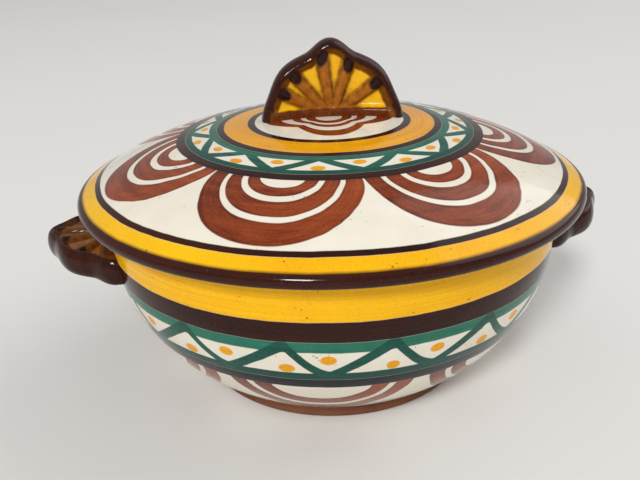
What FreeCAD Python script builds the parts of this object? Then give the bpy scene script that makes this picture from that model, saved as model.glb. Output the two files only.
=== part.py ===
# A covered earthenware pot: a round bowl on a foot ring with two shell lugs, and a low domed lid
# with a locating ring underneath and a shell grip on top. Millimetres, +Z up.
# The origin is on the table, on the pot's axis. +X points at the right lug.
import FreeCAD, Part
import math
import os

from FreeCAD import Vector

# Foot ring
FOOT_RADIUS = 64.0
FOOT_WIDTH = 8.0
FOOT_HEIGHT = 5.5
FOOT_ROUND = 1.5

# Bowl: a flat base, a round haunch, a full belly and a short upright neck
HAUNCH_RISE = 35.5
HAUNCH_DRAW_IN = 7.5
BELLY_RISE = 33.0
BELLY_RADIUS = 103.5
NECK_HEIGHT = 14.0
BOWL_WALL = 6.0
FLOOR_THICKNESS = 6.0
RIM_ROUND = 2.0

# Lid: a rolled edge that overhangs the bowl, and a dome that is flatter on top
LID_OVERHANG = 9.5
EDGE_HEIGHT = 6.0
EDGE_BULGE = 2.4
EDGE_TUCK = 1.0
DOME_RISE = 25.3
DOME_POWER = 2.72
DOME_POINTS = 7
LID_WALL = 6.5
HOLLOW_SLOPE = 7.0

# Locating ring under the lid, inside the bowl's mouth
RING_CLEARANCE = 2.0
RING_WALL = 5.0
RING_DEPTH = 10.0
RING_ROUND = 1.5

# Shell grip on the lid: a fan with a tall middle lobe, hollowed on both faces between ribs
GRIP_HALF_WIDTH = 32.5
GRIP_SHOULDER = 32.0
GRIP_CREST = 35.5
GRIP_THICKNESS = 13.0
GRIP_BEND_RADIUS = 95.0
GRIP_BORDER = 7.0
GRIP_SILL = 5.0
GRIP_SHIFT = 1.8
GRIP_SETBACK = 7.5
GRIP_TURN = -4.5

# Shell lugs on the bowl: the same fan, laid flat
LUG_HALF_WIDTH = 35.0
LUG_SHOULDER = 31.5
LUG_CREST = 33.5
LUG_THICKNESS = 12.0
LUG_BEND_RADIUS = 140.0
LUG_BORDER = 5.5
LUG_SILL = 5.5
LUG_BELOW_RIM = 19.0
LUG_ROOT = 4.0

# Details that both sizes of shell share
NOTCH_DEPTH = 0.9
SHELL_ROUND = 2.0
SHELL_ROOT = 12.0
RECESS_DEPTH = 2.6
RIB_TURNS = (38.0, 72.0, 98.0, 130.0, 151.0)
RIB_HUB = 2.0
RIB_BITE = 2.5
RIB_FOOT_RADIUS = 1.3
RIB_TIP_RADIUS = 2.4

# Heights and radii that follow from the sizes above
haunch_height = FOOT_HEIGHT + HAUNCH_RISE
haunch_radius = BELLY_RADIUS - HAUNCH_DRAW_IN
belly_height = haunch_height + BELLY_RISE
rim_height = belly_height + NECK_HEIGHT
mouth_radius = BELLY_RADIUS - BOWL_WALL
floor_height = FOOT_HEIGHT + FLOOR_THICKNESS
edge_radius = BELLY_RADIUS + LID_OVERHANG
edge_top = rim_height + EDGE_HEIGHT
ring_outer = mouth_radius - RING_CLEARANCE
ring_inner = ring_outer - RING_WALL


def at(radius, height):
    """A point of a turned profile, in the XZ plane."""
    return Vector(radius, 0, height)


def line(start, end):
    return Part.LineSegment(start, end).toShape()


def arc(start, through, end):
    return Part.Arc(start, through, end).toShape()


def corner_arc(centre, radius, start_angle, end_angle):
    """An arc of a turned profile about a centre, between two angles in degrees."""
    angles = [start_angle, (start_angle + end_angle) / 2, end_angle]
    turns = [math.radians(angle) for angle in angles]
    return arc(*[centre + radius * at(math.cos(turn), math.sin(turn)) for turn in turns])


def turned(edges):
    """The solid that a closed profile sweeps round the pot's axis."""
    face = Part.Face(Part.Wire(Part.__sortEdges__(edges)))
    return face.revolve(Vector(0, 0, 0), Vector(0, 0, 1), 360)


def haunch_centres():
    """Centres and radii of the belly's arc and the haunch's arc, tangent where they meet."""
    belly_arc = (BELLY_RISE**2 + HAUNCH_DRAW_IN**2) / (2 * HAUNCH_DRAW_IN)
    belly_centre = at(BELLY_RADIUS - belly_arc, belly_height)
    joint = at(haunch_radius, haunch_height)
    inward = (belly_centre - joint).normalize()
    chord = at(FOOT_RADIUS, FOOT_HEIGHT) - joint
    haunch_arc = chord.dot(chord) / (2 * chord.dot(inward))
    return belly_centre, belly_arc, joint + inward * haunch_arc, haunch_arc


def bowl_side(inset, lowest):
    """The bowl's curved side from its neck down to a height, offset inwards from the outside."""
    belly_centre, belly_arc, haunch_centre, haunch_arc = haunch_centres()
    joint_angle = -math.degrees(math.asin(BELLY_RISE / belly_arc))
    low_angle = -math.degrees(math.asin((haunch_centre.z - lowest) / (haunch_arc - inset)))
    return [
        corner_arc(belly_centre, belly_arc - inset, 0, joint_angle),
        corner_arc(haunch_centre, haunch_arc - inset, joint_angle, low_angle),
    ]


def end_of(edges):
    """The end of a run of arcs: its lowest vertex."""
    return min((vertex.Point for edge in edges for vertex in edge.Vertexes), key=lambda p: p.z)


def bowl_outline(outer):
    """The bowl's outside from the top of its belly down to the axis."""
    foot = end_of(outer)
    return [*outer, line(foot, at(0, foot.z))]


def make_bowl():
    outer = bowl_side(0, FOOT_HEIGHT)
    inner = bowl_side(BOWL_WALL, floor_height)
    shoulder = rim_height - RIM_ROUND
    outside_round = at(BELLY_RADIUS - RIM_ROUND, shoulder)
    inside_round = at(mouth_radius + RIM_ROUND, shoulder)
    floor_edge = end_of(inner)
    return turned([
        *bowl_outline(outer),
        line(at(BELLY_RADIUS, belly_height), at(BELLY_RADIUS, shoulder)),
        corner_arc(outside_round, RIM_ROUND, 0, 90),
        line(at(BELLY_RADIUS - RIM_ROUND, rim_height), at(mouth_radius + RIM_ROUND, rim_height)),
        corner_arc(inside_round, RIM_ROUND, 90, 180),
        line(at(mouth_radius, shoulder), at(mouth_radius, belly_height)),
        *inner,
        line(floor_edge, at(0, floor_edge.z)),
        line(at(0, floor_edge.z), at(0, FOOT_HEIGHT)),
    ])


def make_bowl_envelope():
    """The bowl with its inside filled, which trims what is joined to its outside."""
    return turned([
        *bowl_outline(bowl_side(0, FOOT_HEIGHT)),
        line(at(BELLY_RADIUS, belly_height), at(BELLY_RADIUS, rim_height)),
        line(at(BELLY_RADIUS, rim_height), at(0, rim_height)),
        line(at(0, rim_height), at(0, FOOT_HEIGHT)),
    ])


def make_foot_ring():
    inside = FOOT_RADIUS - FOOT_WIDTH
    return turned([
        line(at(inside, FOOT_HEIGHT), at(FOOT_RADIUS, FOOT_HEIGHT)),
        line(at(FOOT_RADIUS, FOOT_HEIGHT), at(FOOT_RADIUS, FOOT_ROUND)),
        corner_arc(at(FOOT_RADIUS - FOOT_ROUND, FOOT_ROUND), FOOT_ROUND, 0, -90),
        line(at(FOOT_RADIUS - FOOT_ROUND, 0), at(inside + FOOT_ROUND, 0)),
        corner_arc(at(inside + FOOT_ROUND, FOOT_ROUND), FOOT_ROUND, -90, -180),
        line(at(inside, FOOT_ROUND), at(inside, FOOT_HEIGHT)),
    ])


def dome_height(radius):
    """Height of the lid's top at a radius."""
    return edge_top + DOME_RISE * (1 - (radius / edge_radius) ** DOME_POWER)


def dome_curve(drop, outermost):
    """The dome's profile from the axis outwards, lowered by a drop."""
    radii = [outermost * step / (DOME_POINTS - 1) for step in range(DOME_POINTS)]
    curve = Part.BSplineCurve()
    curve.interpolate([at(radius, dome_height(radius) - drop) for radius in radii])
    return curve.toShape()


def lid_outside():
    """The lid's top and rolled edge, from the axis out and down to the seat."""
    edge_foot = at(edge_radius - EDGE_TUCK, rim_height)
    bulge = at(edge_radius + EDGE_BULGE, rim_height + EDGE_HEIGHT / 2)
    return [dome_curve(0, edge_radius), arc(at(edge_radius, edge_top), bulge, edge_foot)], edge_foot


def make_lid():
    outside, edge_foot = lid_outside()
    hollow_radius = ring_inner - HOLLOW_SLOPE
    hollow_edge = at(hollow_radius, dome_height(hollow_radius) - LID_WALL)
    return turned([
        *outside,
        line(edge_foot, at(ring_inner, rim_height)),
        line(at(ring_inner, rim_height), hollow_edge),
        dome_curve(LID_WALL, hollow_radius),
        line(at(0, dome_height(0) - LID_WALL), at(0, dome_height(0))),
    ])


def make_lid_envelope():
    """The lid with its underside filled, which trims the grip to the dome."""
    outside, edge_foot = lid_outside()
    return turned([
        *outside,
        line(edge_foot, at(0, rim_height)),
        line(at(0, rim_height), at(0, dome_height(0))),
    ])


def make_locating_ring():
    low = rim_height - RING_DEPTH
    return turned([
        line(at(ring_inner, rim_height), at(ring_outer, rim_height)),
        line(at(ring_outer, rim_height), at(ring_outer, low + RING_ROUND)),
        corner_arc(at(ring_outer - RING_ROUND, low + RING_ROUND), RING_ROUND, 0, -90),
        line(at(ring_outer - RING_ROUND, low), at(ring_inner + RING_ROUND, low)),
        corner_arc(at(ring_inner + RING_ROUND, low + RING_ROUND), RING_ROUND, -90, -180),
        line(at(ring_inner, low + RING_ROUND), at(ring_inner, rim_height)),
    ])


def fan_prism(half_width, shoulder, crest, skirt, depth):
    """A fan of five lobes in the XZ plane, drawn through Y. Its sides run down below the hub."""
    lobes = [half_width, shoulder, crest, shoulder, half_width]
    step = math.pi / (len(lobes) - 1)
    points = [at(half_width, 0)]
    for place in range(1, len(lobes)):
        notch = min(lobes[place - 1], lobes[place]) - NOTCH_DEPTH
        for size, turn in ((notch, (place - 0.5) * step), (lobes[place], place * step)):
            points.append(size * at(math.cos(turn), math.sin(turn)))
    fan = Part.BSplineCurve()
    fan.interpolate(points, InitialTangent=Vector(0, 0, 1), FinalTangent=Vector(0, 0, -1))
    low_right = at(half_width, -skirt)
    low_left = at(-half_width, -skirt)
    sides = [line(points[-1], low_left), line(low_left, low_right), line(low_right, points[0])]
    face = Part.Face(Part.Wire([fan.toShape(), *sides]))
    face.translate(Vector(0, -depth, 0))
    return face.extrude(Vector(0, 2 * depth, 0))


def bent_layer(bend_radius, near, far, height):
    """A bent slab between two distances behind the fan's middle surface; its ends come forward."""
    base = Vector(0, -bend_radius, -height)
    outer = Part.makeCylinder(bend_radius + far, 2 * height, base)
    return outer.cut(Part.makeCylinder(bend_radius + near, 2 * height, base))


def make_shell(half_width, shoulder, crest, thickness, bend_radius, border, sill):
    """A scallop shell that stands on the XY plane, hollowed between ribs on its front and back."""
    half = thickness / 2
    reach = max(half_width, crest) + SHELL_ROOT
    body = fan_prism(half_width, shoulder, crest, SHELL_ROOT, reach)
    body = body.common(bent_layer(bend_radius, -half, half, reach))
    outline = [edge for edge in body.Edges if edge.BoundBox.ZLength > SHELL_ROOT / 2]
    body = body.makeFillet(SHELL_ROUND, outline)
    above_sill = Part.makeBox(2 * reach, 2 * reach, reach, Vector(-reach, -reach, sill))
    hollow = fan_prism(half_width - border, shoulder - border, crest - border, sill, reach)
    hollow = hollow.common(above_sill)
    front = bent_layer(bend_radius, -thickness, RECESS_DEPTH - half, reach)
    back = bent_layer(bend_radius, half - RECESS_DEPTH, thickness, reach)
    body = body.cut(hollow.common(front)).cut(hollow.common(back))
    ribs = make_ribs(shoulder - border + RIB_BITE, half - RECESS_DEPTH, bend_radius)
    return body.fuse(ribs).removeSplitter()


def make_ribs(reach, floor, bend_radius):
    """Tapered ribs that fan out from the shell's hub, on the floor of each face."""
    ribs = []
    for rib_turn in RIB_TURNS:
        turn = math.radians(rib_turn)
        for side in (-1, 1):
            ends = []
            for along in (RIB_HUB, reach):
                x = along * math.cos(turn)
                y = side * floor - bend_radius + math.sqrt(bend_radius**2 - x**2)
                ends.append(Vector(x, y, along * math.sin(turn)))
            axis = ends[1] - ends[0]
            ribs.append(Part.makeCone(RIB_FOOT_RADIUS, RIB_TIP_RADIUS, axis.Length, ends[0], axis))
    return ribs


def make_grip():
    """The shell that the lid is lifted by, trimmed to the dome it stands on."""
    grip = make_shell(GRIP_HALF_WIDTH, GRIP_SHOULDER, GRIP_CREST, GRIP_THICKNESS,
                      GRIP_BEND_RADIUS, GRIP_BORDER, GRIP_SILL)
    grip.translate(Vector(GRIP_SHIFT, GRIP_SETBACK, dome_height(GRIP_HALF_WIDTH)))
    grip.rotate(Vector(0, 0, 0), Vector(0, 0, 1), GRIP_TURN)
    return grip.cut(make_lid_envelope()).Solids[0]


def make_lug():
    """The right lug: a shell laid flat against the bowl's side, its ends drooping a little."""
    lug = make_shell(LUG_HALF_WIDTH, LUG_SHOULDER, LUG_CREST, LUG_THICKNESS,
                     LUG_BEND_RADIUS, LUG_BORDER, LUG_SILL)
    lug.rotate(Vector(0, 0, 0), Vector(1, 0, 0), 90)
    lug.rotate(Vector(0, 0, 0), Vector(0, 0, 1), 90)
    lug.translate(Vector(BELLY_RADIUS - LUG_ROOT, 0, rim_height - LUG_BELOW_RIM))
    return lug.cut(make_bowl_envelope()).Solids[0]


right_lug = make_lug()
left_lug = right_lug.copy()
left_lug.rotate(Vector(0, 0, 0), Vector(0, 0, 1), 180)

pieces = {
    "foot_ring": make_foot_ring(),
    "bowl": make_bowl(),
    "right_lug": right_lug,
    "left_lug": left_lug,
    "lid": make_lid(),
    "lid_locating_ring": make_locating_ring(),
    "lid_grip": make_grip(),
}

os.makedirs("parts", exist_ok=True)
for name, shape in pieces.items():
    shape.exportStep(f"parts/{name}.step")
    box = shape.BoundBox
    print(name, shape.ShapeType, len(shape.Solids), shape.isValid(), round(shape.Volume), "mm3",
          [round(v, 1) for v in (box.XMin, box.XMax, box.YMin, box.YMax, box.ZMin, box.ZMax)])
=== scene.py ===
import math

import bmesh
import bpy
import numpy as np
from mathutils import Matrix, Vector


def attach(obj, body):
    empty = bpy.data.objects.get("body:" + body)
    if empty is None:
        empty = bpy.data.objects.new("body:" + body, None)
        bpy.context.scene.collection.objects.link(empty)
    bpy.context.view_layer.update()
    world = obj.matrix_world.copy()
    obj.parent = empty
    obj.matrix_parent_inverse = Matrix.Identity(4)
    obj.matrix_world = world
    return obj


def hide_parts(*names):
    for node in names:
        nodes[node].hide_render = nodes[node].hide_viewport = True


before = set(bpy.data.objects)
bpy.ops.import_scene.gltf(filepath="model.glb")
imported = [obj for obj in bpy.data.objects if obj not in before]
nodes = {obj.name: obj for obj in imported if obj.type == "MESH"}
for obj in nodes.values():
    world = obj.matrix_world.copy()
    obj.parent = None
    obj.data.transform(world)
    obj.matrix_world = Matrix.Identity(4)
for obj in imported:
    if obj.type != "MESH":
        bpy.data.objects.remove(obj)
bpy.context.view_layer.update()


# Foot ring
# A coil of red earthenware, luted under the bowl and turned true on the wheel.
# It is wiped clean of glaze, so that the pot doesn't stick to the kiln shelf.

MM_PER_METRE = 1000.0
# The clay's two tones are darker than fresh red clay: partly painted shade, for the shadow the foot stands
# in under the bowl.
CLAY_PALE_SHADED = (0.30, 0.13, 0.065, 1.0)
CLAY_RED_SHADED = (0.15, 0.055, 0.028, 1.0)
CLAY_ROUGHNESS = 0.86
CLAY_CLOUD_SIZE = 18.0
CLAY_CLOUD_SHARE = 0.6
CLAY_BLUR = 0.7
GROG_SIZE = 0.7
GROG_SHARE = 0.5
GROG_RELIEF = 0.10
TURNING_WIDTH = 1.2
TURNING_DEGREES = 50.0
TURNING_SHARE = 0.3
TURNING_RELIEF = 0.12
STREAK_STEEPNESS = 1.7
GLOSS = 0.22


class Field:
    """A number that varies over a piece's surface, as a shader node gives it."""

    def __init__(self, tree, socket):
        self.tree = tree
        self.socket = socket

    def math(self, operation, *others, clamp=False):
        node = self.tree.nodes.new("ShaderNodeMath")
        node.operation = operation
        node.use_clamp = clamp
        for socket, value in zip(node.inputs, (self, *others)):
            if isinstance(value, Field):
                self.tree.links.new(value.socket, socket)
            else:
                socket.default_value = value
        return Field(self.tree, node.outputs[0])

    def __add__(self, other):
        return self.math("ADD", other)

    def __sub__(self, other):
        return self.math("SUBTRACT", other)

    def __mul__(self, other):
        return self.math("MULTIPLY", other)

    def __truediv__(self, other):
        return self.math("DIVIDE", other)

    def __pow__(self, other):
        return self.math("POWER", other)

    def inverse(self):
        return (self * -1.0) + 1.0

    def over(self, edge, blur):
        """1 where the number is over an edge and 0 where it is under, with a soft change between."""
        return ((self - edge) / blur).math("ADD", 0.5, clamp=True)

    def between(self, low, high, blur):
        return self.over(low, blur) * self.over(high, blur).inverse()

    def either(self, other):
        return self.math("MAXIMUM", other)


class Finish:
    """A piece's finish: its material, the places on the piece in millimetres, and its coats of colour."""

    def __init__(self, name):
        self.material = bpy.data.materials.new(name)
        self.material.use_nodes = True
        self.tree = self.material.node_tree
        self.shader = self.tree.nodes["Principled BSDF"]
        self.colour = None
        self.height = None
        places = self.tree.nodes.new("ShaderNodeTexCoord")
        self.x, self.y, self.z = (part * MM_PER_METRE for part in self.split(places.outputs["Object"]))
        self.facing_x, self.facing_y, self.facing_z = self.split(places.outputs["Normal"])
        self.radius = (self.x * self.x + self.y * self.y).math("SQRT")
        self.turn = self.y.math("ARCTAN2", self.x).math("DEGREES")
        self.outward = (self.facing_x * self.x + self.facing_y * self.y) / self.radius

    def split(self, socket):
        node = self.tree.nodes.new("ShaderNodeSeparateXYZ")
        self.tree.links.new(socket, node.inputs[0])
        return [Field(self.tree, output) for output in node.outputs]

    def speckle(self, size, detail=2.0, place=None):
        """Cloudy change from 0 to 1, with a size in millimetres, at the piece's own places unless told."""
        joined = self.tree.nodes.new("ShaderNodeCombineXYZ")
        for part, socket in zip(place or (self.x, self.y, self.z), joined.inputs):
            self.tree.links.new(part.socket, socket)
        noise = self.tree.nodes.new("ShaderNodeTexNoise")
        noise.inputs["Scale"].default_value = 1.0 / size
        noise.inputs["Detail"].default_value = detail
        self.tree.links.new(joined.outputs[0], noise.inputs["Vector"])
        return Field(self.tree, noise.outputs[0])

    def streaks(self, width, degrees):
        """Cloudy change that is drawn out round the piece, as a brush leaves it on a turning wheel."""
        reach = math.degrees(width / degrees)
        along = self.radius + self.z * STREAK_STEEPNESS
        place = (self.x / self.radius * reach, self.y / self.radius * reach, along)
        return self.speckle(width, detail=3.0, place=place)

    def mix(self, under, over, share):
        node = self.tree.nodes.new("ShaderNodeMix")
        node.data_type = "RGBA"
        factor, first, second = node.inputs[0], node.inputs[6], node.inputs[7]
        self.tree.links.new(share.socket, factor)
        for socket, value in ((first, under), (second, over)):
            if isinstance(value, tuple):
                socket.default_value = value
            else:
                self.tree.links.new(value, socket)
        return node.outputs[2]

    def coat(self, thin, thick, depth, where=None):
        """A coat of colour over all or part of the piece, from its thin shade to its thick one."""
        coat = self.mix(thin, thick, depth)
        self.colour = self.mix(self.colour, coat, where) if where else coat

    def relief(self, field, height):
        """Adds to the fine relief: a field's change from 0 to 1, as a height in millimetres."""
        part = field * (height / MM_PER_METRE)
        self.height = self.height + part if self.height else part

    def done(self, roughness):
        self.tree.links.new(self.colour, self.shader.inputs["Base Color"])
        self.shader.inputs["Specular IOR Level"].default_value = GLOSS
        if isinstance(roughness, Field):
            self.tree.links.new(roughness.socket, self.shader.inputs["Roughness"])
        else:
            self.shader.inputs["Roughness"].default_value = roughness
        if self.height:
            bump = self.tree.nodes.new("ShaderNodeBump")
            bump.inputs["Distance"].default_value = 1.0
            self.tree.links.new(self.height.socket, bump.inputs["Height"])
            self.tree.links.new(bump.outputs[0], self.shader.inputs["Normal"])
        return self.material


def wear(node, material):
    """Gives a CAD node its one material."""
    nodes[node].data.materials.clear()
    nodes[node].data.materials.append(material)


def shaded_bare_clay():
    clay = Finish("bare_red_clay_with_painted_shade")
    grog = clay.speckle(GROG_SIZE, detail=4.0)
    turning = clay.streaks(TURNING_WIDTH, TURNING_DEGREES)
    clouds = clay.speckle(CLAY_CLOUD_SIZE)
    redness = grog * GROG_SHARE + clouds * CLAY_CLOUD_SHARE + turning * TURNING_SHARE
    clay.coat(CLAY_PALE_SHADED, CLAY_RED_SHADED, redness.over(0.5, CLAY_BLUR))
    clay.relief(grog, GROG_RELIEF)
    clay.relief(turning, TURNING_RELIEF)
    return clay.done(CLAY_ROUGHNESS)


wear("foot_ring", shaded_bare_clay())


# Bowl
# A bowl of red earthenware thrown on the wheel and dipped in a cream-white tin glaze.
# Its bands, garland, dots and scallops are brushed on over the raw glaze before firing.

CREAM = (0.84, 0.79, 0.68, 1.0)
CREAM_SHADE = (0.76, 0.69, 0.55, 1.0)
YELLOW_THIN = (0.94, 0.54, 0.004, 1.0)
YELLOW_THICK = (0.80, 0.34, 0.002, 1.0)
UMBER_THIN = (0.042, 0.0075, 0.003, 1.0)
UMBER_THICK = (0.007, 0.002, 0.0012, 1.0)
TEAL_THIN = (0.028, 0.20, 0.125, 1.0)
TEAL_THICK = (0.003, 0.060, 0.045, 1.0)
INK_THIN = (0.006, 0.008, 0.014, 1.0)
INK_THICK = (0.002, 0.003, 0.006, 1.0)
RUST_THIN = (0.36, 0.070, 0.015, 1.0)
RUST_THICK = (0.100, 0.011, 0.003, 1.0)
DOT_THIN = (0.88, 0.42, 0.006, 1.0)
DOT_THICK = (0.72, 0.26, 0.003, 1.0)

BAND_WOBBLE = 0.9
WOBBLE_SIZE = 26.0
SHAKE_SIZE = 7.0
STREAK_WIDTH = 1.1
STREAK_DEGREES = 60.0
STREAK_BLUR = 0.45
STREAK_SHARE = 0.6
GRAIN_SIZE = 0.75
GRAIN_BLUR = 0.5
GRAIN_SHARE = 0.5
CLOUD_SIZE = 14.0
CLOUD_SHARE = 0.4
CREAM_BLUR = 0.5
CREAM_CLOUD_SHARE = 0.7
DRAG_MIDDLE = 0.8
DRAG_BLUR = 0.8
STROKE_DRAG_SHARE = 0.6
STROKE_MIDDLE = 0.81
BRUSH_BLUR = 0.35
FACING_BLUR = 0.1
HAIR_WIDTH = 0.8
HAIR_DRIFT = 2.5
HAIR_SHARE = 0.95
POOL_POWER = 5.0
POOL_SHARE = 0.35
FIRST_TOUCH = 0.16
RUST_LOAD = -0.14
DOT_RAGGED = 0.16
SCALLOP_WIDTH_POWER = 2.3
SCALLOP_DEPTH_POWER = 1.5
PINHOLE_SIZE = 1.1
PINHOLE_EDGE = 0.80
PINHOLE_BLUR = 0.03
PINHOLE_CLOUD = 0.55
PINHOLE_CLOUD_BLUR = 0.1
PINHOLE_DARKNESS = 0.8
PINHOLE_RELIEF = 0.08
PAINT_RELIEF = 0.05
CLOUD_RELIEF = 0.16
THROWING_WIDTH = 3.0
THROWING_DEGREES = 120.0
THROWING_RELIEF = 0.10
GLAZE_ROUGHNESS = 0.06
GRAIN_ROUGHNESS = 0.04
PAINT_ROUGHNESS = 0.03

BOWL_BANDS = {"rim": 86.0, "yellow": 69.7, "umber": 60.6, "teal": 55.6, "garland": 44.6, "lower_teal": 40.4,
              "ink": 35.0}
BOWL_WANDER = 0.5
BOWL_SHAKE = 0.4
# The lower teal band's deep load is partly painted shade, darkening it where the belly turns under.
BOWL_TEAL_DEPTHS_AND_SHADE = {"teal": 0.12, "lower_teal": 0.9}
BOWL_TEAL_CLOUDS = 0.2
BOWL_RADIUS = 100.0
GARLAND_COUNT = 15
GARLAND_START = -109.0
GARLAND_WANDER = 0.6
GARLAND_PEAK = 59.4
GARLAND_DIP = 43.6
GARLAND_VALLEY = 0.41
GARLAND_FALL = 1.6
GARLAND_RISE = 1.1
GARLAND_STROKE = 2.2
GARLAND_SWELL = 0.8
GARLAND_SHAKE = 0.5
GARLAND_DEPTH = 0.55
GARLAND_CLOUDS = 0.25
BOWL_DOT_WIDTH = 3.0
BOWL_DOT_HEIGHT = 2.3
UPPER_DOT_HEIGHT = 51.8
LOWER_DOT_HEIGHT = 47.0
BOWL_DOT_DRIFT = 9.0
BOWL_DOT_DRIFT_SIZE = 60.0
BOWL_SCALLOP_COUNT = 7
BOWL_SCALLOP_START = -101.7
BOWL_SCALLOP_WANDER = 1.2
BOWL_SCALLOP_HALF = 41.0
BOWL_SCALLOP_DEPTH = 30.0
BOWL_SCALLOP_LEVELS = ((0.53, 0.73), (0.81, 1.0))
HAUNCH_CENTRE = (19.8, 77.5)
HAUNCH_RADIUS = 84.5


class GlazedFinish(Finish):
    """A tin-glazed surface with brushed colours under a clear shine."""

    def __init__(self, name):
        super().__init__(name)
        self.wobble = (self.speckle(WOBBLE_SIZE) - 0.5) * (2 * BAND_WOBBLE)
        self.shake = (self.speckle(SHAKE_SIZE) - 0.5) * BAND_WOBBLE
        self.wheel_streaks = self.streaks(STREAK_WIDTH, STREAK_DEGREES).over(0.5, STREAK_BLUR)
        self.grain = self.speckle(GRAIN_SIZE, detail=3.0).over(0.5, GRAIN_BLUR)
        self.clouds = self.speckle(CLOUD_SIZE, detail=3.0)
        self.painted = None
        self.coat(CREAM, CREAM_SHADE, self.clouds.over(0.5, CREAM_BLUR) * CREAM_CLOUD_SHARE)

    def brush(self, thin, thick, where, depth=None):
        """Brushed colour: streaked by the wheel and mottled by the raw glaze under it.
        A stroke with a depth of its own is streaked less."""
        drag = self.wheel_streaks * STREAK_SHARE + self.grain * GRAIN_SHARE + self.clouds * CLOUD_SHARE
        if depth:
            load = (depth + drag * STROKE_DRAG_SHARE).over(STROKE_MIDDLE, DRAG_BLUR)
        else:
            load = drag.over(DRAG_MIDDLE, DRAG_BLUR)
        self.coat(thin, thick, load, where)
        self.painted = self.painted.either(where) if self.painted else where

    def fold(self, turn, count, start):
        """Angle from the nearest of a ring of motifs, in degrees, from its own middle."""
        spacing = 360.0 / count
        return (((turn - start) / spacing + 0.5).math("FRACT") - 0.5) * spacing

    def scallop(self, across, down, half_width, depth):
        """Nested arcs that hang from a line: 0 at the middle of the line and 1 at the outermost edge."""
        sideways = (across.math("ABSOLUTE") / half_width) ** SCALLOP_WIDTH_POWER
        below = (down.math("MAXIMUM", 0.0) / depth) ** SCALLOP_DEPTH_POWER
        return (sideways + below) ** (1.0 / SCALLOP_WIDTH_POWER)

    def brush_scallops(self, level, levels, size, lean, where):
        """Rust-brown arcs: streaked along the stroke, and darker along their edges
        and where the loaded brush first touched."""
        drift = lean * HAIR_DRIFT
        hairs = self.speckle(1.0, detail=3.0, place=(level * (size / HAIR_WIDTH), drift, drift))
        for inner, outer in levels:
            middle = (inner + outer) / 2
            edge_pool = (level - middle).math("ABSOLUTE") * (2.0 / (outer - inner))
            arc = level.between(inner, outer, BRUSH_BLUR / size) * where
            load = edge_pool ** POOL_POWER * POOL_SHARE + hairs * HAIR_SHARE - lean * FIRST_TOUCH + RUST_LOAD
            self.brush(RUST_THIN, RUST_THICK, arc, load)

    def dot(self, across, down, half_width, half_height):
        """A dab of the brush: a rough oval."""
        size = ((across / half_width) ** 2.0 + (down / half_height) ** 2.0).math("SQRT")
        return (size + self.shake * DOT_RAGGED).over(1.0, DOT_RAGGED).inverse()

    def fired(self):
        """The clear shine over all of it, with a few pinholes to the clay, the faint hills of the colours
        and the thrown wall."""
        pits = self.speckle(PINHOLE_SIZE, detail=0.0).over(PINHOLE_EDGE, PINHOLE_BLUR)
        pinholes = pits * self.clouds.over(PINHOLE_CLOUD, PINHOLE_CLOUD_BLUR)
        self.coat(CLAY_RED_SHADED, UMBER_THICK, self.grain, pinholes * PINHOLE_DARKNESS)
        self.relief(pinholes.inverse(), PINHOLE_RELIEF)
        self.relief(self.painted, PAINT_RELIEF)
        self.relief(self.clouds, CLOUD_RELIEF)
        self.relief(self.streaks(THROWING_WIDTH, THROWING_DEGREES), THROWING_RELIEF)
        return self.done(self.grain * GRAIN_ROUGHNESS + self.painted * PAINT_ROUGHNESS + GLAZE_ROUGHNESS)


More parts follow.
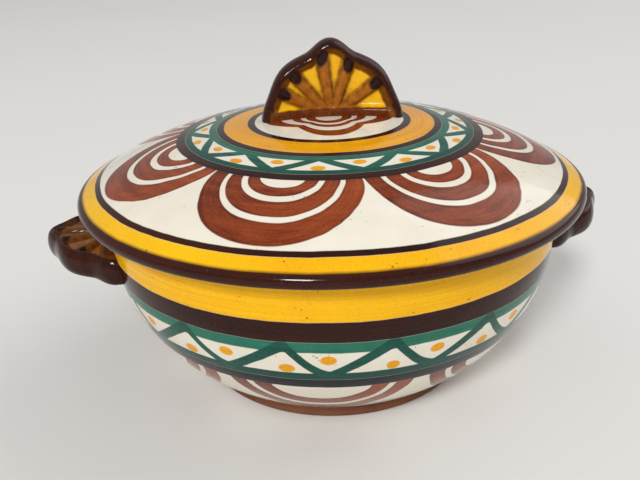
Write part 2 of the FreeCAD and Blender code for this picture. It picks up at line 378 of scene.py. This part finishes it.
def painted_bowl():
    glaze = GlazedFinish("painted_bowl_glaze")
    height = glaze.z + glaze.wobble * BOWL_WANDER + glaze.shake * BOWL_SHAKE
    outside = glaze.outward.over(0.0, FACING_BLUR)

    round_haunch = (glaze.z * -1.0 + HAUNCH_CENTRE[1]).math("ARCTAN2", glaze.radius - HAUNCH_CENTRE[0])
    start_angle = math.asin((HAUNCH_CENTRE[1] - BOWL_BANDS["ink"]) / HAUNCH_RADIUS)
    down = (round_haunch - start_angle) * HAUNCH_RADIUS
    wandering = glaze.turn + glaze.wobble * BOWL_SCALLOP_WANDER
    across = glaze.fold(wandering, BOWL_SCALLOP_COUNT, BOWL_SCALLOP_START).math("RADIANS") * BOWL_RADIUS
    level = glaze.scallop(across + glaze.shake, down + glaze.wobble, BOWL_SCALLOP_HALF, BOWL_SCALLOP_DEPTH)
    low_side = height.over(BOWL_BANDS["ink"], BRUSH_BLUR).inverse() * outside
    glaze.brush_scallops(level, BOWL_SCALLOP_LEVELS, BOWL_SCALLOP_DEPTH,
                         across / BOWL_SCALLOP_HALF, low_side)

    bands = (("yellow", "rim", YELLOW_THIN, YELLOW_THICK), ("umber", "yellow", UMBER_THIN, UMBER_THICK),
             ("teal", "umber", TEAL_THIN, TEAL_THICK), ("lower_teal", "garland", TEAL_THIN, TEAL_THICK),
             ("ink", "lower_teal", INK_THIN, INK_THICK))
    for low, high, thin, thick in bands:
        where = height.between(BOWL_BANDS[low], BOWL_BANDS[high], BRUSH_BLUR) * outside
        depth = None
        if low in BOWL_TEAL_DEPTHS_AND_SHADE:
            depth = glaze.clouds * BOWL_TEAL_CLOUDS + BOWL_TEAL_DEPTHS_AND_SHADE[low]
        glaze.brush(thin, thick, where, depth)

    phase = glaze.fold(glaze.turn + glaze.wobble * GARLAND_WANDER, GARLAND_COUNT, GARLAND_START)
    along = (phase / (360.0 / GARLAND_COUNT) + 1.0).math("FRACT")
    fall = (along / GARLAND_VALLEY).inverse().math("MAXIMUM", 0.0) ** GARLAND_FALL
    rise = ((along - GARLAND_VALLEY) / (1.0 - GARLAND_VALLEY)).math("MAXIMUM", 0.0) ** GARLAND_RISE
    climb = fall.either(rise)
    line = climb * (GARLAND_PEAK - GARLAND_DIP) + GARLAND_DIP
    stroke_half = climb * GARLAND_SWELL + GARLAND_STROKE + glaze.shake * GARLAND_SHAKE
    off_line = ((height - line) / stroke_half).math("ABSOLUTE")
    garland_zone = height.between(BOWL_BANDS["lower_teal"], BOWL_BANDS["umber"], BRUSH_BLUR) * outside
    stroke = off_line.over(1.0, BRUSH_BLUR / GARLAND_STROKE).inverse() * garland_zone
    glaze.brush(TEAL_THIN, TEAL_THICK, stroke, glaze.clouds * GARLAND_CLOUDS + GARLAND_DEPTH)

    drift = (glaze.speckle(BOWL_DOT_DRIFT_SIZE) - 0.5) * BOWL_DOT_DRIFT
    valley = GARLAND_START + 360.0 * GARLAND_VALLEY / GARLAND_COUNT
    valley_phase = glaze.fold(glaze.turn, GARLAND_COUNT, valley)
    lower = glaze.dot(phase.math("RADIANS") * BOWL_RADIUS + drift, height - LOWER_DOT_HEIGHT,
                      BOWL_DOT_WIDTH, BOWL_DOT_HEIGHT)
    upper = glaze.dot(valley_phase.math("RADIANS") * BOWL_RADIUS - drift, height - UPPER_DOT_HEIGHT,
                      BOWL_DOT_WIDTH, BOWL_DOT_HEIGHT)
    glaze.brush(DOT_THIN, DOT_THICK, lower.either(upper) * outside)
    return glaze.fired()


wear("bowl", painted_bowl())


# Shell lugs
# Two small scallop shells pressed in a mould and luted flat to the bowl's sides, one each side.
# Their thick honey-brown glaze is amber over the ribs and nearly black round the rolled rim; it is painted
# darker than the grip's glaze, partly as painted shade from the lid above.

TREACLE_THIN = (0.056, 0.010, 0.0035, 1.0)
TREACLE_THICK = (0.010, 0.002, 0.0015, 1.0)
SHELL_TURN_STEPS = 180
SHELL_REACH_STEPS = 64
SHELL_STEP_POWER = 0.9
SHELL_NOTCH = 0.9
SHELL_SKIRT = 1.0
SHELL_SLOPE = 1.2
SHELL_HOLLOW_DEPTH = 2.9
SHELL_SILL_DROP = 0.2
SHELL_RIM_FILLET = 0.9
SHELL_SILL_FILLET = 0.8
SHELL_WELD = 0.02
SHELL_RIB_TURNS = (38.0, 72.0, 98.0, 130.0, 151.0)
RIB_HALF_WIDTH = 1.6
RIB_WIDENING = 0.05
RIB_HEIGHT = 1.3
RIB_HEIGHTENING = 0.9
RIB_EDGE = 1.5
RIM_EDGE = 0.70
RIM_FADE = 0.30
LIP_EDGE = 1.10
LIP_FADE = 0.25
TIP_PLACE = 0.92
TIP_LENGTH = 0.55
HUB_EDGE = 0.56
HUB_FADE = 0.2
HUB_DEPTH = 0.8
SILL_EDGE = 1.6
SILL_FADE = 1.2
POOL_PLACE = 1.1
POOL_WIDTH = 0.28
RUN_SIZE = 3.0
RUN_BLOT = 0.55
RUN_DEPTH = 0.8
RUN_RELIEF = 0.22
FINE_SIZE = 0.8
FINE_BLOT = 0.25
FINE_DEPTH = 0.4
FINE_RELIEF = 0.03
DEPTH_MIDDLE = 0.6
DEPTH_BLUR = 0.6
POOL_LEAST = 0.3
LIP_LEAST = 0.5
LIP_DEPTH = 0.45
TIP_DEPTH = 0.3
MARK_BLOTS = {"rib": 0.4, "hub": 0.8, "sill": 1.0, "lip": 0.6, "tip": 0.7, "rim": 0.6}
MARK_MIDDLES = {"rib": 0.5, "hub": 0.5, "sill": 0.5, "lip": 0.5, "tip": 0.55, "rim": 0.5}
MARK_BLURS = {"rib": 0.35, "hub": 0.8, "sill": 0.6, "lip": 0.5, "tip": 0.35, "rim": 0.5}
SHELL_ROUGHNESS = 0.02
SHELL_FINE_ROUGHNESS = 0.05

LUG_HALF_WIDTH = 35.0
LUG_SHOULDER = 31.5
LUG_CREST = 33.5
LUG_THICKNESS = 12.0
LUG_BEND = 140.0
LUG_BORDER = 5.5
LUG_SILL = 5.5
LUG_HUB = (99.5, 0.0, 69.0)
LUG_ROOT_RADIUS = 100.5
# Darker than the grip's amber and honey: partly the lugs' own glaze, partly painted shade from the lid's
# shadow over them.
LUG_RIB_SHADED_THIN = (0.22, 0.080, 0.012, 1.0)
LUG_RIB_SHADED_THICK = (0.075, 0.022, 0.005, 1.0)
LUG_HOLLOW_SHADED_THIN = (0.36, 0.125, 0.010, 1.0)
LUG_HOLLOW_SHADED_THICK = (0.11, 0.030, 0.004, 1.0)


def smooth_top(first, second, softness):
    """The higher of two heights, with the corner between them filled as thick glaze fills it."""
    share = np.clip(0.5 + (first - second) / (2 * softness), 0, 1)
    return second + (first - second) * share + softness * share * (1 - share)


def fade_out(distance, end, width):
    """1 up to a soft edge of the given width, and 0 from its end on."""
    return np.clip((end - distance) / width, 0, 1)


def shell_edge(turns, half_width, shoulder, crest):
    """Distance of the lobed edge from the hub, at angles from the shell's right end."""
    lobes = [half_width, shoulder, crest, shoulder, half_width]
    stops = [half_width]
    for before, lobe in zip(lobes, lobes[1:]):
        stops += [min(before, lobe) - SHELL_NOTCH, lobe]
    last_stop = len(stops) - 1
    place = np.clip(turns / math.pi * last_stop, 0, last_stop - 0.0001)
    low = place.astype(int)
    stops = np.array(stops)
    ease = (1 - np.cos(np.pi * (place - low))) / 2
    return stops[low] + (stops[low + 1] - stops[low]) * ease


def shell_mesh(name, half_width, shoulder, crest, thickness, bend, border, sill, root):
    """A bent scallop shell that stands on its hub line, ribbed on both faces, in millimetres.
    X runs along the hub line, Z up to the crest, and the hollow side looks along -Y.
    Its root runs down into the wall it is luted to, which curves away with the root's radius."""
    turns = np.linspace(0, math.pi, SHELL_TURN_STEPS)
    steps = np.sin(np.linspace(0, math.pi / 2, SHELL_REACH_STEPS)) ** SHELL_STEP_POWER
    turn, share = np.meshgrid(turns, steps, indexing="ij")
    edge = shell_edge(turn, half_width, shoulder, crest)
    reach = edge * share
    from_edge = edge - reach
    x = reach * np.cos(turn)
    z = reach * np.sin(turn)

    half = thickness / 2
    roll_half = border / 2
    on_roll = from_edge < roll_half
    roll = half * np.sqrt(np.clip(1 - ((roll_half - from_edge) / roll_half) ** 2, 0, 1))
    outer = np.where(on_roll, roll, half)
    rim = np.where(on_roll, roll, half - SHELL_SLOPE * (from_edge - roll_half))
    sill_top = half - SHELL_SILL_DROP - SHELL_SLOPE * np.clip(z - sill, 0, None)
    rib_off = np.min([np.abs(turn - math.radians(place)) for place in SHELL_RIB_TURNS], axis=0)
    rib_across = rib_off * reach / (RIB_HALF_WIDTH + RIB_WIDENING * reach)
    rib_round = np.sqrt(np.clip(1 - rib_across**2, 0, 1))
    ribs = half - SHELL_HOLLOW_DEPTH + rib_round * (RIB_HEIGHT + RIB_HEIGHTENING * share)
    face = smooth_top(smooth_top(ribs, rim, SHELL_RIM_FILLET), sill_top, SHELL_SILL_FILLET)
    face = np.minimum(face, outer)

    middle = np.sqrt(bend**2 - x**2) - bend
    front = np.stack([x, middle - face, z], -1).reshape(-1, 3)
    back = np.stack([x, middle + face, z], -1).reshape(-1, 3)
    grid = np.arange(turn.size).reshape(turn.shape)
    corners = [grid[:-1, :-1], grid[1:, :-1], grid[1:, 1:], grid[:-1, 1:]]
    quads = np.stack(corners, -1).reshape(-1, 4)
    hub_line = np.concatenate([grid[-1, ::-1], grid[0, 1:]])
    hub_x = front[hub_line, 0]
    drop = np.zeros((len(hub_line), 3))
    drop[:, 2] = SHELL_SKIRT + root - np.sqrt(root**2 - hub_x**2)
    points = np.concatenate([front, back, front[hub_line] - drop, back[hub_line] - drop])
    low_front = len(front) + len(back) + np.arange(len(hub_line))
    low_back = low_front + len(hub_line)
    strips = []
    for upper, lower in ((hub_line, low_front), (low_back, hub_line + len(front)), (low_front, low_back)):
        strips.append(np.stack([upper[:-1], upper[1:], lower[1:], lower[:-1]], -1))
    faces = np.concatenate([quads, quads[:, ::-1] + len(front), *strips])
    mesh = bpy.data.meshes.new(name)
    mesh.from_pydata(points.tolist(), [], faces.tolist())

    from_tip = np.hypot((from_edge - border * TIP_PLACE) / (border * TIP_LENGTH), rib_across)
    shares = {"rib": fade_out(rib_across, RIB_EDGE, 1.0),
              "rim": fade_out(from_edge, border * RIM_EDGE, border * RIM_FADE),
              "lip": fade_out(from_edge, border * LIP_EDGE, border * LIP_FADE),
              "tip": fade_out(from_tip, RIB_EDGE, 1.0),
              "sill": fade_out(z, sill + SILL_EDGE, SILL_FADE),
              "hub": fade_out(share, HUB_EDGE, HUB_FADE),
              "pool": np.exp(-(((rib_across - POOL_PLACE) / POOL_WIDTH) ** 2))}
    for label, values in shares.items():
        attribute = mesh.attributes.new(label, "FLOAT", "POINT")
        skirts = np.full(2 * len(hub_line), 1.0 if label == "sill" else 0.0)
        both_faces = np.concatenate([values.ravel(), values.ravel(), skirts])
        attribute.data.foreach_set("value", both_faces.astype(np.float32))
    return mesh


def shell_piece(name, mesh, place):
    """A shell in its place: merged along its edge, faces out, smooth, in metres."""
    work = bmesh.new()
    work.from_mesh(mesh)
    bmesh.ops.remove_doubles(work, verts=work.verts, dist=SHELL_WELD)
    bmesh.ops.recalc_face_normals(work, faces=work.faces)
    work.to_mesh(mesh)
    work.free()
    mesh.transform(Matrix.Scale(1 / MM_PER_METRE, 4) @ place)
    for polygon in mesh.polygons:
        polygon.use_smooth = True
    piece = bpy.data.objects.new(name, mesh)
    bpy.context.scene.collection.objects.link(piece)
    return piece


def marked(finish, label):
    """A share from 0 to 1 that the mesh carries at its points."""
    node = finish.tree.nodes.new("ShaderNodeAttribute")
    node.attribute_name = label
    return Field(finish.tree, node.outputs["Fac"])


def shell_glaze(name, hollow_thin, hollow_thick, rib_thin, rib_thick):
    """Thick glaze over a ribbed shell: paler in the hollows, ribs with dark ends, a treacle rim."""
    glaze = Finish(name)
    runs = glaze.speckle(RUN_SIZE, detail=3.0)
    fine = glaze.speckle(FINE_SIZE, detail=3.0)
    blot = (runs - 0.5) * RUN_BLOT + (fine - 0.5) * FINE_BLOT
    depth = (runs * RUN_DEPTH + fine * FINE_DEPTH).over(DEPTH_MIDDLE, DEPTH_BLUR)
    marks = {}
    for label, blot_share in MARK_BLOTS.items():
        mark = marked(glaze, label) + blot * blot_share
        marks[label] = mark.over(MARK_MIDDLES[label], MARK_BLURS[label])
    pools = marked(glaze, "pool") * (runs * RUN_DEPTH + POOL_LEAST)
    glaze.coat(hollow_thin, hollow_thick, depth)
    glaze.coat(rib_thin, rib_thick, depth, marks["rib"].either(marks["hub"] * HUB_DEPTH))
    glaze.coat(rib_thick, TREACLE_THIN, depth, pools)
    glaze.coat(rib_thick, TREACLE_THIN, depth, marks["sill"])
    glaze.coat(rib_thin, TREACLE_THIN, depth * LIP_DEPTH + LIP_LEAST, marks["lip"])
    glaze.coat(TREACLE_THICK, TREACLE_THIN, depth * TIP_DEPTH, marks["tip"])
    glaze.coat(TREACLE_THIN, TREACLE_THICK, depth, marks["rim"])
    glaze.relief(runs, RUN_RELIEF)
    glaze.relief(fine, FINE_RELIEF)
    return glaze.done(fine * SHELL_FINE_ROUGHNESS + SHELL_ROUGHNESS)


shaded_lug_glaze = shell_glaze("lug_treacle_glaze_with_painted_shade", LUG_HOLLOW_SHADED_THIN, LUG_HOLLOW_SHADED_THICK, LUG_RIB_SHADED_THIN, LUG_RIB_SHADED_THICK)
lay_flat = Matrix.Rotation(math.pi / 2, 4, "Z") @ Matrix.Rotation(math.pi / 2, 4, "X")
for lug_name, lug_turn in (("right_lug", 0.0), ("left_lug", math.pi)):
    lug_form = shell_mesh(lug_name + "_shell", LUG_HALF_WIDTH, LUG_SHOULDER, LUG_CREST, LUG_THICKNESS,
                          LUG_BEND, LUG_BORDER, LUG_SILL, LUG_ROOT_RADIUS)
    lug_place = Matrix.Rotation(lug_turn, 4, "Z") @ Matrix.Translation(LUG_HUB) @ lay_flat
    lug = shell_piece(lug_name + "_shell", lug_form, lug_place)
    lug.data.materials.append(shaded_lug_glaze)
    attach(lug, "bowl")
    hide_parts(lug_name)


# Locating ring
# A ring of clay luted under the lid, which drops inside the bowl's mouth and keeps the lid in place.
# It takes no glaze, because it is fired against the bowl.

# It wears the foot ring's bare clay, with the same painted shade darkening it.
wear("lid_locating_ring", nodes["foot_ring"].data.materials[0])


# Lid
# A low dome thrown upside down on the wheel, with a rolled edge that covers the bowl's rim.
# It has the bowl's cream glaze, and bands, a zigzag with dots and rings of scallops brushed on it.

LID_BANDS = {"crown_line": (34.0, 37.4), "inner_yellow": (37.4, 48.0), "inner_umber": (48.0, 51.4),
             "inner_teal": (51.4, 54.8), "outer_teal": (62.6, 65.6), "ring": (65.6, 69.8),
             "edge_line": (104.7, 107.2), "edge_yellow": (107.2, 114.5)}
ROLL_RADIUS = 112.7
ROLL_BLEED = 1.3
UNDER_LIP_FACING = -0.97
UNDER_LIP_BLUR = 0.05
PALE_ROLL_EDGE_HEIGHT = 88.7
PALE_ROLL_EDGE_BLUR = 0.3
LID_WANDER = 0.45
LID_SHAKE = 0.35
LID_TEAL_DEPTHS = {"inner_teal": 0.25, "outer_teal": 0.6}
LID_TEAL_CLOUDS = 0.3
ZIGZAG_COUNT = 11
ZIGZAG_START = -102.5
ZIGZAG_DRIFT = 2.5
ZIGZAG_WANDER = 0.8
ZIGZAG_LOW = 53.2
ZIGZAG_HIGH = 64.0
ZIGZAG_STROKE = 2.2
ZIGZAG_SHAKE = 0.6
ZIGZAG_DEPTH = 0.4
ZIGZAG_CLOUDS = 0.3
ZIGZAG_RADIUS = 58.5
LID_DOT_WIDTH = 2.8
LID_DOT_HEIGHT = 1.75
OUTER_DOT_RADIUS = 60.9
INNER_DOT_RADIUS = 57.4
LID_DOT_DRIFT = 5.0
LID_DOT_DRIFT_SIZE = 45.0
LID_SCALLOP_COUNT = 7
LID_SCALLOP_START = -113.0
LID_SCALLOP_WANDER = 1.5
LID_SCALLOP_SHAKE = 0.7
LID_SCALLOP_SAG = 0.6
LID_SCALLOP_HALF = 31.0
LID_SCALLOP_DEPTH = 33.4
LID_SCALLOP_LEVELS = ((0.29, 0.46), (0.54, 0.73), (0.79, 1.0))
BAND_OVERLAP = 0.5
CROWN_SCALLOP_COUNT = 4
CROWN_SCALLOP_START = -94.0
CROWN_SCALLOP_SHAKE = 0.6
CROWN_SCALLOP_SAG = 0.5
CROWN_SCALLOP_HALF = 17.5
CROWN_SCALLOP_DEPTH = 29.0
CROWN_SCALLOP_LEVELS = ((0.36, 0.515), (0.59, 0.70), (0.83, 1.0))


def painted_lid():
    glaze = GlazedFinish("painted_lid_glaze")
    radius = glaze.radius + glaze.wobble * LID_WANDER + glaze.shake * LID_SHAKE
    upper = glaze.facing_z.over(0.0, FACING_BLUR)

    ring_edge = LID_BANDS["ring"][1]
    edge_start = LID_BANDS["edge_line"][0]
    wandering = glaze.turn + glaze.wobble * LID_SCALLOP_WANDER
    across = glaze.fold(wandering, LID_SCALLOP_COUNT, LID_SCALLOP_START).math("RADIANS") * ring_edge
    down = radius + glaze.wobble * LID_SCALLOP_SAG - ring_edge
    level = glaze.scallop(across + glaze.shake * LID_SCALLOP_SHAKE, down,
                          LID_SCALLOP_HALF, LID_SCALLOP_DEPTH)
    field_zone = radius.between(ring_edge - BAND_OVERLAP, edge_start + BAND_OVERLAP, BRUSH_BLUR) * upper
    glaze.brush_scallops(level, LID_SCALLOP_LEVELS, LID_SCALLOP_DEPTH,
                         across / LID_SCALLOP_HALF, field_zone)

    crown_turn = glaze.fold(glaze.turn, CROWN_SCALLOP_COUNT, CROWN_SCALLOP_START).math("RADIANS")
    crown_across = crown_turn.math("SINE") * glaze.radius
    crown_down = crown_turn.math("COSINE") * glaze.radius + glaze.wobble * CROWN_SCALLOP_SAG
    crown_level = glaze.scallop(crown_across + glaze.shake * CROWN_SCALLOP_SHAKE, crown_down,
                                CROWN_SCALLOP_HALF, CROWN_SCALLOP_DEPTH)
    crown_zone = radius.over(LID_BANDS["crown_line"][0], BRUSH_BLUR).inverse() * upper
    glaze.brush_scallops(crown_level, CROWN_SCALLOP_LEVELS, CROWN_SCALLOP_DEPTH,
                         crown_across / CROWN_SCALLOP_HALF, crown_zone)

    drift = (glaze.turn - ZIGZAG_START).math("RADIANS").math("SINE") * ZIGZAG_DRIFT
    turn = glaze.turn - drift + glaze.wobble * ZIGZAG_WANDER
    phase = glaze.fold(turn, ZIGZAG_COUNT, ZIGZAG_START)
    line = phase.math("ABSOLUTE") / (180.0 / ZIGZAG_COUNT) * (ZIGZAG_HIGH - ZIGZAG_LOW) + ZIGZAG_LOW
    off_line = ((radius - line) / (glaze.shake * ZIGZAG_SHAKE + ZIGZAG_STROKE)).math("ABSOLUTE")
    zigzag_zone = radius.between(LID_BANDS["inner_teal"][0], LID_BANDS["outer_teal"][1], BRUSH_BLUR) * upper
    stroke = off_line.over(1.0, BRUSH_BLUR / ZIGZAG_STROKE).inverse() * zigzag_zone
    glaze.brush(TEAL_THIN, TEAL_THICK, stroke, glaze.clouds * ZIGZAG_CLOUDS + ZIGZAG_DEPTH)

    dot_drift = (glaze.speckle(LID_DOT_DRIFT_SIZE) - 0.5) * LID_DOT_DRIFT
    between = glaze.fold(turn, ZIGZAG_COUNT, ZIGZAG_START + 180.0 / ZIGZAG_COUNT)
    outer_dot = glaze.dot(phase.math("RADIANS") * ZIGZAG_RADIUS + dot_drift, radius - OUTER_DOT_RADIUS,
                          LID_DOT_WIDTH, LID_DOT_HEIGHT)
    inner_dot = glaze.dot(between.math("RADIANS") * ZIGZAG_RADIUS - dot_drift, radius - INNER_DOT_RADIUS,
                          LID_DOT_WIDTH, LID_DOT_HEIGHT)
    glaze.brush(DOT_THIN, DOT_THICK, outer_dot.either(inner_dot) * upper)

    colours = {"crown_line": (UMBER_THIN, UMBER_THICK), "inner_yellow": (DOT_THIN, DOT_THICK),
               "inner_umber": (UMBER_THIN, UMBER_THICK), "inner_teal": (TEAL_THIN, TEAL_THICK),
               "outer_teal": (TEAL_THIN, TEAL_THICK), "ring": (UMBER_THIN, UMBER_THICK),
               "edge_line": (UMBER_THIN, UMBER_THICK), "edge_yellow": (YELLOW_THIN, YELLOW_THICK)}
    for band, (thin, thick) in colours.items():
        low, high = LID_BANDS[band]
        depth = None
        if band in LID_TEAL_DEPTHS:
            depth = glaze.clouds * LID_TEAL_CLOUDS + LID_TEAL_DEPTHS[band]
        glaze.brush(thin, thick, radius.between(low, high, BRUSH_BLUR) * upper, depth)
    under_lip = glaze.facing_z.over(UNDER_LIP_FACING, UNDER_LIP_BLUR)
    roll = radius.over(ROLL_RADIUS, ROLL_BLEED) * under_lip
    glaze.brush(TREACLE_THIN, TREACLE_THICK, roll)
    # A pale cream-to-clay line along the lowest edge of the roll.
    pale_roll_edge = glaze.z.over(PALE_ROLL_EDGE_HEIGHT, PALE_ROLL_EDGE_BLUR).inverse() * roll
    glaze.coat(CREAM_SHADE, CLAY_PALE_SHADED, glaze.grain, pale_roll_edge)
    return glaze.fired()


wear("lid", painted_lid())


# Lid grip
# A larger scallop shell from a mould, luted upright on the crown to lift the lid by, a little off true.
# Honey glaze fills the hollows between its amber ribs, and dark treacle glaze covers its rolled rim.

AMBER_THIN = (0.50, 0.175, 0.008, 1.0)
AMBER_THICK = (0.20, 0.042, 0.003, 1.0)
HONEY_THIN = (0.95, 0.56, 0.006, 1.0)
HONEY_THICK = (0.84, 0.38, 0.003, 1.0)
GRIP_HALF_WIDTH = 32.5
GRIP_SHOULDER = 32.0
GRIP_CREST = 35.5
GRIP_THICKNESS = 13.0
GRIP_BEND = 95.0
GRIP_BORDER = 7.0
GRIP_SILL = 3.6
GRIP_ROOT_RADIUS = 250.0
GRIP_PLACE = (1.8, 7.5, 118.4)
GRIP_TURN = math.radians(-4.5)

grip_form = shell_mesh("lid_grip_shell", GRIP_HALF_WIDTH, GRIP_SHOULDER, GRIP_CREST, GRIP_THICKNESS,
                       GRIP_BEND, GRIP_BORDER, GRIP_SILL, GRIP_ROOT_RADIUS)
grip_place = Matrix.Rotation(GRIP_TURN, 4, "Z") @ Matrix.Translation(GRIP_PLACE)
grip = shell_piece("lid_grip_shell", grip_form, grip_place)
grip.data.materials.append(shell_glaze("grip_honey_glaze", HONEY_THIN, HONEY_THICK, AMBER_THIN, AMBER_THICK))
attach(grip, "lid")
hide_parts("lid_grip")


# Table, light and camera
# A pale matt table, two soft lamps some way off and a dim even room, seen from a little above
# and close by, as someone at the table sees the pot.

FLOOR_HALF = 12.0
FLOOR_PALE = (0.80, 0.79, 0.77, 1.0)
FLOOR_SHADE = (0.76, 0.75, 0.73, 1.0)
FLOOR_CLOUD_SIZE = 400.0
FLOOR_ROUGHNESS = 0.9
ROOM_WHITE = (1.0, 1.0, 1.0, 1.0)
ROOM_LIGHT = 0.44
KEY_PLACE = (-1.50, -3.50, 3.10)
KEY_SIZE = 0.90
KEY_WATTS = 144.0
FILL_PLACE = (3.60, 1.05, 3.30)
FILL_SIZE = 4.50
FILL_WATTS = 80.0
POT_MIDDLE = Vector((0, 0, 0.07))
CAMERA_DISTANCE = 0.3485
CAMERA_HEIGHT = 0.2077
CAMERA_NEAR = 0.01
CAMERA_TURN = math.radians(-98.0)
CAMERA_HEADING = math.radians(-7.04)
CAMERA_PITCH = math.radians(23.22)
CAMERA_ROLL = math.radians(-1.88)
FOCAL_PIXELS = 774.5
IMAGE_WIDTH = 640
SENSOR_WIDTH = 36.0

floor_mesh = bpy.data.meshes.new("floor")
floor_corners = [(x * FLOOR_HALF, y * FLOOR_HALF, 0.0) for x, y in ((-1, -1), (1, -1), (1, 1), (-1, 1))]
floor_mesh.from_pydata(floor_corners, [], [(0, 1, 2, 3)])
floor = bpy.data.objects.new("floor", floor_mesh)
bpy.context.scene.collection.objects.link(floor)
table_top = Finish("pale_table")
table_top.coat(FLOOR_PALE, FLOOR_SHADE, table_top.speckle(FLOOR_CLOUD_SIZE))
floor_mesh.materials.append(table_top.done(FLOOR_ROUGHNESS))

room = bpy.data.worlds.new("room")
room.use_nodes = True
room.node_tree.nodes["Background"].inputs["Color"].default_value = ROOM_WHITE
room.node_tree.nodes["Background"].inputs["Strength"].default_value = ROOM_LIGHT
bpy.context.scene.world = room


def soft_lamp(name, place, size, watts):
    """A square softbox that looks at the middle of the pot."""
    lamp_data = bpy.data.lights.new(name, "AREA")
    lamp_data.shape = "SQUARE"
    lamp_data.size = size
    lamp_data.energy = watts
    lamp = bpy.data.objects.new(name, lamp_data)
    lamp.location = place
    lamp.rotation_euler = (POT_MIDDLE - Vector(place)).to_track_quat("-Z", "Y").to_euler()
    bpy.context.scene.collection.objects.link(lamp)


soft_lamp("key_lamp", KEY_PLACE, KEY_SIZE, KEY_WATTS)
soft_lamp("fill_lamp", FILL_PLACE, FILL_SIZE, FILL_WATTS)

camera_data = bpy.data.cameras.new("camera")
camera_data.sensor_width = SENSOR_WIDTH
camera_data.lens = FOCAL_PIXELS * SENSOR_WIDTH / IMAGE_WIDTH
camera_data.clip_start = CAMERA_NEAR
camera = bpy.data.objects.new("camera", camera_data)
camera_place = Vector((math.cos(CAMERA_TURN), math.sin(CAMERA_TURN), 0)) * CAMERA_DISTANCE
camera_place.z = CAMERA_HEIGHT
aim = Matrix.Rotation(CAMERA_HEADING, 4, "Z") @ Matrix.Rotation(math.pi / 2 - CAMERA_PITCH, 4, "X")
camera.matrix_world = Matrix.Translation(camera_place) @ aim @ Matrix.Rotation(CAMERA_ROLL, 4, "Z")
bpy.context.scene.collection.objects.link(camera)
bpy.context.scene.camera = camera
bpy.context.scene.view_settings.view_transform = "Standard"
